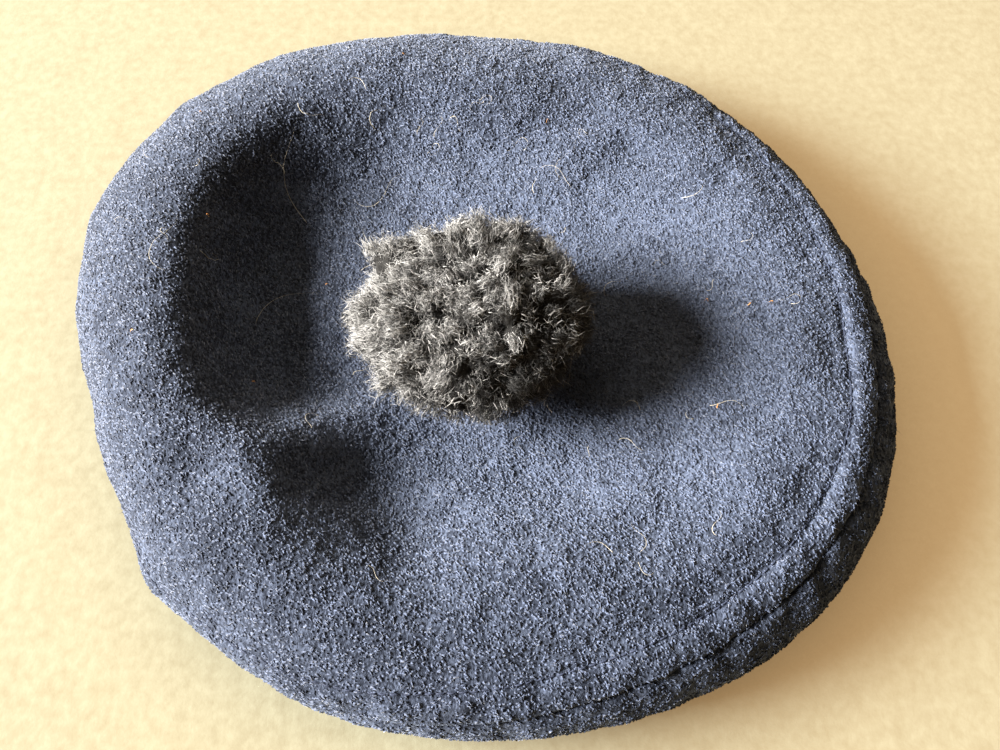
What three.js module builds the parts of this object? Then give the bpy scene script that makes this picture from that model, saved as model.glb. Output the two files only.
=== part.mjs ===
// A cloth beret with a yarn pompom, lying on a table. Millimetres, +Z up.
// The origin is the middle of the beret's outline, on the table.
//
// The cap is two pieces of felted wool cloth: a crown disc and an underside ring. The ring's
// outer edge is turned in under the crown's edge and topstitched, all round the rim. A lining
// of the same two shapes lies inside, and a tape binds the head opening. The pompom is tied
// round its middle, and its tie cord runs down through the crown to a knot inside the cap.

import * as THREE from "three";

// Driving dimensions of the cap.
const outlineRadius = 135;
const outlineOval = 6.5; // how far the outline is drawn out along its long axis
const outlineOvalDirection = degrees(-32);
const outlineLean = 2; // how far it is uneven, with three very soft corners
const outlineLeanDirection = degrees(17);
const outlineSquareness = 2.3; // and with four
const outlineSquareDirection = degrees(-34);
const outlineSlump = { direction: degrees(168), spread: degrees(22), height: 6.5 };
const openingMiddleX = 3; // the outline has slumped, so its middle isn't the head opening's
const openingMiddleY = 1.5;
const crownMiddleX = -2; // nor is the middle of the slack crown, which this gives from the opening's
const crownMiddleY = -12;
const dishFloorHeight = 16;
const dishSteepness = 1.9; // how far out the dish's flat floor reaches, on average
const dishSteepnessRise = 0.5; // and how much further on the left
const crestHeight = 36; // the rolled rim, on average
const crestRise = 6.5; // how much higher than that it stands on its high side
const crestHighDirection = degrees(165);
const rimWidth = 34.5; // from the crest out to the widest point, on average
const rimWidthRise = 5.5; // wider by this on the left and narrower on the right
const rimWidthOval = 5; // wider by this at the front and back and narrower at the sides
const crestBulge = { direction: degrees(200), spread: degrees(14), height: 5.5 };
const widestHeight = 15;
const headOpeningRadius = 88;

// How the slack crown lies. A fold stands up, or sinks where its height is negative.
const hollowDepth = 9; // the long hollow inside the rim's high side
const hollowPlace = 0.8; // how far out its deepest line is, as a share of the way to the crest
const hollowSpread = 0.14;
const hollowDirection = degrees(163);
const hollowHalfAngle = degrees(49);
const hollowEndAngle = degrees(7);
const middleHold = 0.3; // the share of the way to the crest where the tie stops holding it down
const folds = [
  { x: -52, y: -46, heading: degrees(27), length: 24, width: 11, height: 6.5 },
  { x: -80, y: -62, heading: degrees(27), length: 14, width: 13, height: -5 },
  { x: -32, y: -73, heading: degrees(-35), length: 32, width: 17, height: -8 },
  { x: 30, y: 60, heading: degrees(33), length: 30, width: 9, height: 1.8 },
  { x: 52, y: 66, heading: degrees(-45), length: 20, width: 9, height: -2 },
  { x: 36, y: -48, heading: degrees(-35), length: 40, width: 24, height: -1.6 },
];

// Cloth, and the gap that separate layers keep.
const clothThickness = 2;
const liningThickness = 0.5;
const bindingThickness = 0.5;
const bindingLeg = 8; // its lower leg, under the cloth
const bindingTopLeg = 6;
const sweatbandThickness = 0.9;
const sweatbandFreePlace = 1.88; // its free edge lies a little way up the rolled rim
const stitchMargin = 2; // from a tape's edge to its stitches
const layerGap = 0.35;
const threadRadius = 0.3;

// The rim seam rides up onto the rim on one side and drops below it on the other.
// Its place is an angle round the rolled rim: 0 on the crest, a quarter turn at the widest point.
const seamAngle = degrees(76);
const seamAngleSwing = degrees(40);
const seamHighDirection = degrees(-20);
const seamAllowance = 11;

// The pompom.
const pompomWidth = 74;
const pompomDepth = 65;
const pompomHeight = 42;
const neckKnotRadius = 2.2;
const tieRadius = 3;
const tieLength = 20;
const anchorCordRadius = 0.9;
const anchorKnotRadius = 3;
const stayDiscRadius = 9;
const stayDiscThickness = 1.2;

// Worked out from the above.
const bindingTurn = bindingThickness + layerGap;
const undersideHeight = bindingTurn; // the cloth lies on the binding's lower leg
const undersideTuck = 0.8; // the share of the rim's width that the underside curves in again
const panelOpeningRadius = headOpeningRadius + bindingTurn;
const allowanceDepth = clothThickness + layerGap;
const liningDepthAtSeam = allowanceDepth + clothThickness + 2 * (layerGap + threadRadius);
const liningDepthAtOpening = clothThickness + layerGap;
const liningDepthAtMiddle = clothThickness + stayDiscThickness + 2 * layerGap;
const sweatbandDepth = liningDepthAtOpening + liningThickness + layerGap;
const threadLift = layerGap + threadRadius;
const bindingTopLegRadius = headOpeningRadius + bindingTopLeg;
const bindingInsideHeight = undersideHeight + sweatbandDepth;

// Facets.
const turns = 48;
const threadSides = 4;
const smallStep = 0.002;
const strides = 6; // in which a distance along the cloth is measured out
const finePieceSides = 12;
const pompomSides = 24;

function degrees(angle) {
  return (angle * Math.PI) / 180;
}

// ---- The cap's outer surface, measured from the head opening's middle ----

// A smooth bulge that is highest in one direction.
function bulgeAt(direction, bulge) {
  const turn = direction - bulge.direction;
  const away = Math.atan2(Math.sin(turn), Math.cos(turn)) / bulge.spread;
  return bulge.height * Math.exp(-away * away);
}

function outlineAt(direction) {
  return (
    outlineRadius +
    outlineOval * Math.cos(2 * (direction - outlineOvalDirection)) +
    outlineLean * Math.cos(3 * (direction - outlineLeanDirection)) +
    outlineSquareness * Math.cos(4 * (direction - outlineSquareDirection)) +
    bulgeAt(direction, outlineSlump)
  );
}

function crestHeightAt(direction) {
  return crestHeight + crestRise * Math.cos(direction - crestHighDirection);
}

function rimWidthAt(direction) {
  return (
    rimWidth -
    rimWidthRise * Math.cos(direction) -
    rimWidthOval * Math.cos(2 * direction) -
    bulgeAt(direction, crestBulge) +
    bulgeAt(direction, outlineSlump)
  );
}

function foldHeight(fold, x, y) {
  const cos = Math.cos(fold.heading);
  const sin = Math.sin(fold.heading);
  const along = ((x - fold.x) * cos + (y - fold.y) * sin) / fold.length;
  const across = ((y - fold.y) * cos - (x - fold.x) * sin) / fold.width;
  return fold.height * Math.exp(-along * along - across * across);
}

function hollowDepthAt(direction, place) {
  const turn = direction - hollowDirection;
  const away = Math.abs(Math.atan2(Math.sin(turn), Math.cos(turn)));
  const inside = 1 / (1 + Math.exp((away - hollowHalfAngle) / hollowEndAngle));
  return hollowDepth * inside * Math.exp(-(((place - hollowPlace) / hollowSpread) ** 2));
}

// How free the cloth is to slump: not at its tied middle, and no longer at the widest point.
function loosenessAt(place) {
  const share = Math.min(place, 1);
  const free = share ** 2 / (share ** 2 + middleHold ** 2);
  const fade = Math.min(1, Math.max(0, 3 - 2 * place));
  return free * fade * fade * (3 - 2 * fade);
}

function polar(direction, radius, height) {
  return new THREE.Vector3(radius * Math.cos(direction), radius * Math.sin(direction), height);
}

// From the middle of the crown (0) out to the crest (1), a dish that steepens towards the crest.
function dishPoint(direction, share) {
  const crest = polar(direction, outlineAt(direction) - rimWidthAt(direction), 0);
  const middle = new THREE.Vector3(crownMiddleX, crownMiddleY, 0);
  const steepness = dishSteepness - dishSteepnessRise * Math.cos(direction);
  const rise = (1 - Math.cos(Math.PI * share ** steepness)) / 2;
  const point = middle.lerp(crest, share);
  point.z = dishFloorHeight + (crestHeightAt(direction) - dishFloorHeight) * rise;
  return point;
}

// Round the rolled rim, from the crest (0) by the widest point (a quarter turn) to the underside.
function rimPoint(direction, angle) {
  const outside = outlineAt(direction);
  const width = rimWidthAt(direction);
  const upper = angle <= Math.PI / 2;
  const reach = upper ? width : width * undersideTuck;
  const tall = upper ? crestHeightAt(direction) - widestHeight : widestHeight - undersideHeight;
  const radius = outside - reach + reach * Math.sin(angle);
  return polar(direction, radius, widestHeight + tall * Math.cos(angle));
}

function flatPoint(direction, share) {
  const start = rimPoint(direction, Math.PI);
  const radius = Math.hypot(start.x, start.y);
  return polar(direction, radius + (panelOpeningRadius - radius) * share, undersideHeight);
}

// One place along the cap's cloth: 0 to 1 is the dish, 1 to 2 the rolled rim, 2 to 3 the flat.
function evenPoint(direction, place) {
  if (place <= 1) return dishPoint(direction, place);
  if (place <= 2) return rimPoint(direction, (place - 1) * Math.PI);
  return flatPoint(direction, place - 2);
}

function capPoint(direction, place) {
  const point = evenPoint(direction, place);
  const lift = folds.reduce((sum, fold) => sum + foldHeight(fold, point.x, point.y), 0);
  point.z += loosenessAt(place) * (lift - hollowDepthAt(direction, place));
  return point;
}

function capNormal(direction, place) {
  const across = capPoint(direction + smallStep, place).sub(capPoint(direction - smallStep, place));
  const along = capPoint(direction, Math.min(place + smallStep, 3));
  along.sub(capPoint(direction, Math.max(place - smallStep, 0)));
  return along.cross(across).normalize();
}

// A point at a depth below the cap's outer surface, or above it where the depth is negative.
function pointAtDepth(direction, place, depth) {
  return capPoint(direction, place).addScaledVector(capNormal(direction, place), -depth);
}

function seamPlace(direction) {
  const angle = seamAngle - seamAngleSwing * Math.cos(direction - seamHighDirection);
  return 1 + angle / Math.PI;
}

// The place that lies a distance along the cloth from another place.
function placeAlong(direction, place, distance) {
  let found = place;
  for (let i = 0; i < strides; i += 1) {
    const ahead = capPoint(direction, found + smallStep).distanceTo(capPoint(direction, found));
    found += (distance / strides) * (smallStep / ahead);
  }
  return found;
}

// ---- Solids ----

function facingOut(geometry) {
  const position = geometry.getAttribute("position");
  const index = geometry.getIndex().array;
  const corner = [0, 1, 2].map(() => new THREE.Vector3());
  let volume = 0;
  for (let i = 0; i < index.length; i += 3) {
    corner.forEach((point, k) => point.fromBufferAttribute(position, index[i + k]));
    volume += corner[0].dot(corner[1].clone().cross(corner[2]));
  }
  if (volume < 0) {
    for (let i = 0; i < index.length; i += 3) {
      [index[i + 1], index[i + 2]] = [index[i + 2], index[i + 1]];
    }
  }
  geometry.computeVertexNormals();
  return geometry;
}

// A closed ring: the loop of points that sectionAt gives for each direction, joined all round.
function ringSolid(count, sectionAt) {
  const sections = [];
  for (let i = 0; i < count; i += 1) sections.push(sectionAt((2 * Math.PI * i) / count));
  const size = sections[0].length;
  const indices = [];
  for (let i = 0; i < count; i += 1) {
    const next = (i + 1) % count;
    for (let j = 0; j < size; j += 1) {
      const after = (j + 1) % size;
      const a = i * size + j;
      const b = next * size + j;
      const c = next * size + after;
      const d = i * size + after;
      indices.push(a, b, c, a, c, d);
    }
  }
  const geometry = new THREE.BufferGeometry().setFromPoints(sections.flat());
  geometry.setIndex(indices);
  return facingOut(geometry);
}

// A layer of cloth. Each layer is a list of [place, depth] pairs along its outer face.
function clothSection(direction, layers, thickness) {
  const outer = layers.map(([place, depth]) => pointAtDepth(direction, place, depth));
  const inner = layers.map(([place, depth]) => pointAtDepth(direction, place, depth + thickness));
  return [...outer, ...inner.reverse()];
}

function steps(from, to, count) {
  return Array.from({ length: count + 1 }, (_, i) => from + ((to - from) * i) / count);
}

function threadRing(centreAt) {
  return ringSolid(turns, (direction) => {
    const [place, depth] = centreAt(direction);
    const along = placeAlong(direction, place, threadRadius) - place;
    return steps(0, 2 * Math.PI, threadSides).slice(0, threadSides).map((turn) =>
      pointAtDepth(direction, place + along * Math.cos(turn), depth + threadRadius * Math.sin(turn)));
  });
}

function lathe(profile, sides) {
  const points = profile.map(([radius, height]) => new THREE.Vector2(radius, height));
  const geometry = new THREE.LatheGeometry(points, sides);
  geometry.rotateX(Math.PI / 2);
  return geometry;
}

// ---- Materials ----

function material(color, roughness) {
  return new THREE.MeshStandardMaterial({ color, roughness, metalness: 0 });
}

const navyCloth = material(0x2b3a55, 0.95);
const navyThread = material(0x1c2740, 0.7);
const liningSatin = material(0x1a1d26, 0.45);
const ribbon = material(0x14161c, 0.6);
const greyYarn = material(0x55534f, 1);
const darkCord = material(0x2a2927, 0.85);
const feltDisc = material(0x1d2433, 0.95);

// ---- The pieces of the cap ----

const crownHole = 0.02; // the hole that the anchor cord passes, as a share of the way to the crest
const dishEnd = 0.7; // where the cloth turns up to the crest, and needs closer sections
const flatPlaces = [2, 2.5, 3];

function allowancePlaces(direction) {
  return steps(-seamAllowance, 0, 2).map((distance) =>
    placeAlong(direction, seamPlace(direction), distance));
}

function crownPlaces(direction) {
  const dish = steps(0, dishEnd, 6).slice(1, -1);
  const allowance = allowancePlaces(direction);
  return [crownHole, ...dish, ...steps(dishEnd, allowance[0], 6), ...allowance.slice(1)];
}

function crownPanel() {
  return ringSolid(turns, (direction) =>
    clothSection(direction, crownPlaces(direction).map((place) => [place, 0]), clothThickness));
}

// The ring's turned-in edge lies under the crown; past the crown's edge it comes up flush.
function undersidePanel() {
  const clearOfCrown = 2 * layerGap;
  const stepWidth = 2;
  return ringSolid(turns, (direction) => {
    const seam = seamPlace(direction);
    const flush = placeAlong(direction, seam, clearOfCrown + stepWidth);
    return clothSection(direction, [
      ...allowancePlaces(direction).map((place) => [place, allowanceDepth]),
      [placeAlong(direction, seam, clearOfCrown), allowanceDepth],
      ...[...steps(flush, sweatbandFreePlace, 4), ...flatPlaces].map((place) => [place, 0]),
    ], clothThickness);
  });
}

function crownLining() {
  return ringSolid(turns, (direction) => {
    const deepest = allowancePlaces(direction)[0];
    const depthAt = (place) => {
      const share = Math.min(1, place / deepest);
      return liningDepthAtMiddle + (liningDepthAtSeam - liningDepthAtMiddle) * share;
    };
    const layers = crownPlaces(direction).map((place) => [place, depthAt(place)]);
    return clothSection(direction, layers, liningThickness);
  });
}

function undersideLining() {
  return ringSolid(turns, (direction) => {
    const start = placeAlong(direction, seamPlace(direction), layerGap);
    const places = [...steps(start, sweatbandFreePlace, 4), ...flatPlaces];
    const depthAt = (place) => {
      const share = Math.min(1, (place - start) / (sweatbandFreePlace - start));
      return liningDepthAtSeam + (liningDepthAtOpening - liningDepthAtSeam) * share;
    };
    return clothSection(direction, places.map((place) => [place, depthAt(place)]), liningThickness);
  });
}

function rimTopstitchThread() {
  return threadRing((direction) =>
    [placeAlong(direction, seamPlace(direction), clothThickness - seamAllowance), -threadLift]);
}

function rimSeamThread() {
  const depth = allowanceDepth + clothThickness + threadLift;
  const inset = clothThickness / 2;
  return threadRing((direction) => [placeAlong(direction, seamPlace(direction), -inset), depth]);
}

function liningSeamThread() {
  const depth = liningDepthAtSeam + liningThickness + threadLift;
  return threadRing((direction) => [seamPlace(direction), depth]);
}

// A tape folded round the raw edge of the cloth and its lining.
function openingBinding() {
  const inside = headOpeningRadius;
  const underLeg = inside + bindingLeg;
  const legTop = bindingInsideHeight + bindingThickness;
  const profile = [
    [inside, 0],
    [underLeg, 0],
    [underLeg, bindingThickness],
    [inside + bindingThickness, bindingThickness],
    [inside + bindingThickness, bindingInsideHeight],
    [bindingTopLegRadius, bindingInsideHeight],
    [bindingTopLegRadius, legTop],
    [inside, legTop],
  ];
  return ringSolid(turns, (direction) =>
    profile.map(([radius, height]) => polar(direction, radius, height)));
}

function flatThreadRing(radius, height) {
  return ringSolid(turns, (direction) =>
    steps(0, 2 * Math.PI, threadSides).slice(1).map((turn) =>
      polar(direction, radius + threadRadius * Math.cos(turn), height + threadRadius * Math.sin(turn))));
}

function bindingStitchThread() {
  const height = bindingInsideHeight + bindingThickness + threadLift;
  return flatThreadRing(bindingTopLegRadius - stitchMargin, height);
}

// A ribbon sewn beside the binding, which folds outward over the lining.
function sweatband() {
  return ringSolid(turns, (direction) => {
    const start = flatPoint(direction, 0);
    const startRadius = Math.hypot(start.x, start.y);
    const share = (startRadius - bindingTopLegRadius - layerGap) / (startRadius - panelOpeningRadius);
    const places = [sweatbandFreePlace, 2, 2 + share];
    return clothSection(direction, places.map((place) => [place, sweatbandDepth]), sweatbandThickness);
  });
}

function sweatbandStitchThread() {
  const height = undersideHeight + sweatbandDepth + sweatbandThickness + threadLift;
  return flatThreadRing(bindingTopLegRadius + layerGap + stitchMargin, height);
}

function stayDisc() {
  const top = -clothThickness - layerGap;
  const bottom = top - stayDiscThickness;
  const hole = anchorCordRadius + layerGap;
  const profile = [[hole, bottom], [stayDiscRadius, bottom], [stayDiscRadius, top], [hole, top]];
  return lathe([...profile, profile[0]], pompomSides);
}

// The tie cord's end: it runs down through the crown and the lining to a knot.
function anchorCord() {
  const knotTop = -liningDepthAtMiddle - liningThickness - 2 * layerGap;
  const knotHalf = anchorKnotRadius / 2;
  const profile = [[0, knotTop - 2 * knotHalf]];
  const knotEnd = Math.PI / 3; // where the round of the knot gives way to its flat ends
  steps(-knotEnd, knotEnd, 4).forEach((angle) => profile.push(
    [anchorKnotRadius * Math.cos(angle), knotTop - knotHalf + knotHalf * Math.sin(angle)]));
  profile.push([anchorCordRadius, knotTop], [anchorCordRadius, 0], [0, 0]);
  return lathe(profile, finePieceSides);
}

// ---- The pompom. Its own zero is the neck knot's middle, which it tilts about. ----

function neckKnot() {
  return new THREE.IcosahedronGeometry(neckKnotRadius, 1);
}

// The cord that is wound round the yarn's middle and draws it into a bundle.
function pompomTie() {
  const bottom = neckKnotRadius + layerGap;
  const windings = 5;
  const pitch = tieLength / windings;
  const grooveRadius = tieRadius * 0.8; // between one turn of the cord and the next
  const profile = [[0, bottom]];
  for (let i = 0; i < windings; i += 1) {
    profile.push([grooveRadius, bottom + i * pitch], [tieRadius, bottom + (i + 0.5) * pitch]);
  }
  profile.push([grooveRadius, bottom + tieLength], [0, bottom + tieLength]);
  return lathe(profile, finePieceSides);
}

// The bundle of yarn: a flattened oval ball, with a socket from below that its tie fills.
function pompomYarn() {
  const half = pompomHeight / 2;
  const flattening = pompomDepth / pompomWidth;
  const socket = (tieRadius + layerGap) / flattening;
  const socketTop = neckKnotRadius + tieLength + 2 * layerGap;
  const start = -Math.acos((2 * socket) / pompomWidth);
  const profile = [[0, socketTop], [socket, socketTop]];
  steps(start, Math.PI / 2, 12).forEach((angle) => profile.push(
    [Math.abs(pompomWidth * Math.cos(angle)) / 2, half * (1 + Math.sin(angle))]));
  return lathe(profile, pompomSides).scale(1, flattening, 1);
}

// ---- The assembly ----

const beret = new THREE.Group();
beret.position.set(openingMiddleX, openingMiddleY, 0);

function add(parent, name, geometry, surface) {
  const mesh = new THREE.Mesh(geometry, surface);
  mesh.name = name;
  parent.add(mesh);
}

add(beret, "crown_panel", crownPanel(), navyCloth);
add(beret, "underside_panel", undersidePanel(), navyCloth);
add(beret, "rim_seam_thread", rimSeamThread(), navyThread);
add(beret, "rim_topstitch_thread", rimTopstitchThread(), navyThread);
add(beret, "crown_lining", crownLining(), liningSatin);
add(beret, "underside_lining", undersideLining(), liningSatin);
add(beret, "lining_seam_thread", liningSeamThread(), navyThread);
add(beret, "opening_binding", openingBinding(), ribbon);
add(beret, "binding_stitch_thread", bindingStitchThread(), navyThread);
add(beret, "sweatband", sweatband(), ribbon);
add(beret, "sweatband_stitch_thread", sweatbandStitchThread(), navyThread);

const crownMiddle = new THREE.Group();
crownMiddle.position.set(crownMiddleX, crownMiddleY, dishFloorHeight);
add(crownMiddle, "stay_disc", stayDisc(), feltDisc);
add(crownMiddle, "anchor_cord", anchorCord(), darkCord);

const pompom = new THREE.Group();
pompom.position.z = layerGap + neckKnotRadius;
add(pompom, "neck_knot", neckKnot(), darkCord);
add(pompom, "pompom_tie", pompomTie(), darkCord);
add(pompom, "pompom_yarn", pompomYarn(), greyYarn);

crownMiddle.add(pompom);
beret.add(crownMiddle);

export default beret;
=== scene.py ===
import math

import bpy
import numpy as np
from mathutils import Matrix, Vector, noise


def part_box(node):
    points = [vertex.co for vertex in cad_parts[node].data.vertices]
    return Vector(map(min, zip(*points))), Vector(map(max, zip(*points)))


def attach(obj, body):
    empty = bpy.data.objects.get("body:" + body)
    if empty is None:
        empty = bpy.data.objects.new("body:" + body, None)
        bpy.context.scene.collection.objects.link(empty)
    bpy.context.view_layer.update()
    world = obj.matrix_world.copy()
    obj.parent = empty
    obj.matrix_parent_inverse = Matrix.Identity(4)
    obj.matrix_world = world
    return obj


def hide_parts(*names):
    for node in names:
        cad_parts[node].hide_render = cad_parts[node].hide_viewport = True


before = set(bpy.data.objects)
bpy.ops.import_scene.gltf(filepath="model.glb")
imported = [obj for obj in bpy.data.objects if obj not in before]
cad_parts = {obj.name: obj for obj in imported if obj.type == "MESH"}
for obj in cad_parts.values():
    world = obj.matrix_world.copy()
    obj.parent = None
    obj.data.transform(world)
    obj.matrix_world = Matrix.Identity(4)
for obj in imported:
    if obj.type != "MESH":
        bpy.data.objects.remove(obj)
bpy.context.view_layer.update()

# A navy cloth beret with a woolly pompom, lying on a pale floor. Lengths here are millimetres,
# and MM turns them into the frame's metres where a mesh is made.
MM = 0.001
TURN = 2 * math.pi
SEED = 20

# The cap's shape. Its outline, crest and rolled rim are the CAD model's. The long hollow and the hollow
# below the fold are a little deeper and wider than the CAD's, and the cloth's unevenness is added.
OUTLINE_RADIUS = 135
OUTLINE_OVAL = 6.5
OUTLINE_OVAL_DIRECTION = math.radians(-32)
OUTLINE_SQUARENESS = 2.3
OUTLINE_SQUARE_DIRECTION = math.radians(-34)
OUTLINE_LEAN = 2.0
OUTLINE_LEAN_DIRECTION = math.radians(17)
OUTLINE_SWELL = 6.5
OUTLINE_SWELL_DIRECTION = math.radians(168)
OUTLINE_SWELL_SPREAD = math.radians(22)
SEAM_CORNER = 3.5
SEAM_CORNER_DIRECTION = math.radians(-137)
SEAM_CORNER_SPREAD = math.radians(6)
OPENING_MIDDLE = (np.add(*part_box("opening_binding")) / 2 / MM)[:2]
CROWN_MIDDLE = (-2, -12)
DISH_FLOOR = 16
CREST_HEIGHT = 36
CREST_RISE = 6.5
CREST_HIGH_DIRECTION = math.radians(165)
RIM_WIDTH = 34.5
RIM_WIDTH_RISE = 5.5
RIM_WIDTH_OVAL = 5
CREST_BULGE = 5.5
CREST_BULGE_DIRECTION = math.radians(200)
CREST_BULGE_SPREAD = math.radians(14)
HOLLOW_DEPTH = 8.4
HOLLOW_PLACE = 0.78
HOLLOW_SPREAD = 0.16
HOLLOW_INNER_SPREAD = 0.24
HOLLOW_DIRECTION = math.radians(163)
HOLLOW_HALF_ANGLE = math.radians(49)
HOLLOW_END_ANGLE = math.radians(7)
DISH_STEEPNESS = 1.9
DISH_STEEPNESS_LEAN = 0.5
MIDDLE_HOLD = 0.3
WIDEST_HEIGHT = 15
UNDERSIDE_TUCK = 0.8
UNDERSIDE_HEIGHT = 0.85
PANEL_OPENING_RADIUS = 88.85
SEAM_ANGLE = math.radians(76)
SEAM_ANGLE_SWING = math.radians(40)
SEAM_HIGH_DIRECTION = math.radians(-20)
SEAM_ALLOWANCE = 11
CLOTH_THICKNESS = 2
LAYER_GAP = 0.35
TOPSTITCH_INSET = 9
HEAD_OPENING_RADIUS = 88
SWEATBAND_RADIUS = 94.35
SWEATBAND_FREE_PLACE = 1.88
SWEATBAND_DEPTH = 3.2
SWEATBAND_THICKNESS = 0.9

# The ribbon that binds the head opening, folded round the cloth's edge: its (radius, height) corners.
BINDING_SECTION = ((88, 0), (96, 0), (96, 0.5), (88.5, 0.5), (88.5, 4.05), (94, 4.05), (94, 4.55), (88, 4.55))

# The sewing thread, the ribbon's ribs and the pompom's cord.
TOPSTITCH_LENGTH = 3.4
STITCH_LENGTH = 2.6
THREAD_RADIUS = 0.28
RIB_SPACING = 1.3
RIB_DEPTH = 0.16
CORD_RADIUS = 0.75
CORD_END_RADIUS = 0.78
WINDING_RADIUS = 0.8
CORD_SIDES = 9
PLIES = 3
PLY_RELIEF = 0.16
CORD_POINTS_A_TWIST = 8

# How deep the linings and the hidden stitches lie under the cloth's outer face.
LINING_MIDDLE_DEPTH = 3.9
LINING_SEAM_DEPTH = 5.65
LINING_OPENING_DEPTH = 2.35
LINING_STITCH_DEPTH = 6.8
SEAM_STITCH_DEPTH = 2 * CLOTH_THICKNESS + LAYER_GAP + 0.65
LINING_THICKNESS = 0.5

# How finely the cloth is divided all round, and which of its rows of points carry what.
CLOTH_COLUMNS = 640
LINING_COLUMNS = 480
CROWN_LINT_ROWS = slice(None, 76)
CROWN_FUZZ_ROWS = slice(56, None)
SIDE_NAP_ROWS = slice(6, 50)
SIDE_FUZZ_ROWS = slice(6, 44)

# The brushed nap, and the pompom's tufts.
NAP_COUNT = 84000
SIDE_NAP_COUNT = 30000
NAP_LENGTH = 2.1
NAP_WIDTH = 0.55
# Where the cloth's painted light is brightest. Away from it, towards the rim, the cloth's colour and nap are
# darkened as painted shade.
PAINTED_LIGHT_MIDDLE = (28, 0)
NAP_HEADING = math.radians(-36)
NAP_SPREAD = math.radians(28)
POMPOM_TUFTS = 760
POMPOM_FIBRES = 82000
POMPOM_FIBRE_WIDTH = 0.23
TUFT_SPREAD = 0.07
POMPOM_HAIR = 4.6
POMPOM_DOME = 3.4
# The way the pale fibres gather: a painted highlight on the pompom's side towards the lamps.
POMPOM_PAINTED_LIGHT_HEADING = 150
# Where clumps of yarn stand out: (heading, elevation, spread in radians, height).
POMPOM_BULGES = (
    (150, 25, 0.22, 4.5),
    (186, 5, 0.20, 4.0),
    (165, 15, 0.12, -3.0),
    (95, 30, 0.25, 2.5),
    (60, 25, 0.20, 2.0),
    (215, 10, 0.30, -2.0),
)

# The camera, as the beret was photographed: from above, near, with a wide lens.
CAMERA_ELEVATION = math.radians(66)
CAMERA_DISTANCE = 247
CAMERA_AIM = (9.1, -22.1, 22)
CAMERA_LENS = 27

# The floor is flat out to one radius, and then bends up.
FLOOR_RADIUS = 4000
FLOOR_BEND = 3000
FLOOR_COLUMNS = 96
# How strongly the floor glows: painted fill light.
FLOOR_GLOW = 0.5

random = np.random.default_rng(SEED)


# ---- Camera, light and floor ----

def make_camera():
    """The camera, looking down at CAMERA_AIM from the front."""
    data = bpy.data.cameras.new("camera")
    data.lens = CAMERA_LENS
    data.clip_start = 0.01
    camera = bpy.data.objects.new("camera", data)
    bpy.context.scene.collection.objects.link(camera)
    back = Vector((0, -math.cos(CAMERA_ELEVATION), math.sin(CAMERA_ELEVATION)))
    camera.location = (Vector(CAMERA_AIM) + back * CAMERA_DISTANCE) * MM
    camera.rotation_mode = "QUATERNION"
    camera.rotation_quaternion = (-back).to_track_quat("-Z", "Y")
    bpy.context.scene.camera = camera


def add_light(name, heading, elevation, distance, width, height, energy, colour):
    """A soft window of light, aimed at the beret from a heading and an elevation in degrees."""
    data = bpy.data.lights.new(name, "AREA")
    data.shape = "RECTANGLE"
    data.size = width
    data.size_y = height
    data.energy = energy
    data.color = colour
    light = bpy.data.objects.new(name, data)
    bpy.context.scene.collection.objects.link(light)
    a, e = math.radians(heading), math.radians(elevation)
    outward = Vector((math.cos(a) * math.cos(e), math.sin(a) * math.cos(e), math.sin(e)))
    light.location = outward * distance
    light.rotation_mode = "QUATERNION"
    light.rotation_quaternion = (-outward).to_track_quat("-Z", "Y")
    light.visible_camera = False


def make_studio():
    """A low window on the left, a faint warm fill from behind, and very little light all round."""
    add_light("key", 180, 23, 3.2, 1.6, 1.0, 800, (1.0, 0.97, 0.92))
    add_light("far_side", 108, 38, 3.0, 2.0, 2.0, 28, (1.0, 0.84, 0.62))
    world = bpy.data.worlds.new("studio")
    world.use_nodes = True
    background = world.node_tree.nodes["Background"]
    background.inputs["Color"].default_value = (1.0, 0.88, 0.68, 1)
    background.inputs["Strength"].default_value = 0.05
    bpy.context.scene.world = world


# ---- Materials ----

def new_material(name, colour, roughness):
    """A material with its node tree and its Principled shader."""
    material = bpy.data.materials.new(name)
    material.use_nodes = True
    shader = material.node_tree.nodes["Principled BSDF"]
    shader.inputs["Base Color"].default_value = (*colour, 1)
    shader.inputs["Roughness"].default_value = roughness
    shader.inputs["Specular IOR Level"].default_value = 0.2
    return material, material.node_tree, shader


def node(tree, kind, **values):
    """A new node. Values name its inputs, with _ for a space, or its own settings."""
    made = tree.nodes.new(kind)
    for key, value in values.items():
        label = key.replace("_", " ")
        if label in made.inputs:
            made.inputs[label].default_value = value
        else:
            setattr(made, key, value)
    return made


def stretched_position(tree, scale, heading=0.0):
    """The surface's own position, turned about Z and scaled, for a grain that runs one way."""
    where = node(tree, "ShaderNodeTexCoord")
    mapping = node(tree, "ShaderNodeMapping", Scale=scale, Rotation=(0, 0, heading))
    tree.links.new(where.outputs["Object"], mapping.inputs["Vector"])
    return mapping.outputs["Vector"]


def colour_ramp(tree, source, stops):
    """A colour for each value of the source. stops has (place, colour) pairs."""
    ramp = node(tree, "ShaderNodeValToRGB")
    elements = ramp.color_ramp.elements
    while len(elements) < len(stops):
        elements.new(0.5)
    for element, (place, colour) in zip(elements, stops):
        element.position = place
        element.color = (*colour, 1)
    tree.links.new(source, ramp.inputs["Fac"])
    return ramp.outputs["Color"]


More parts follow.
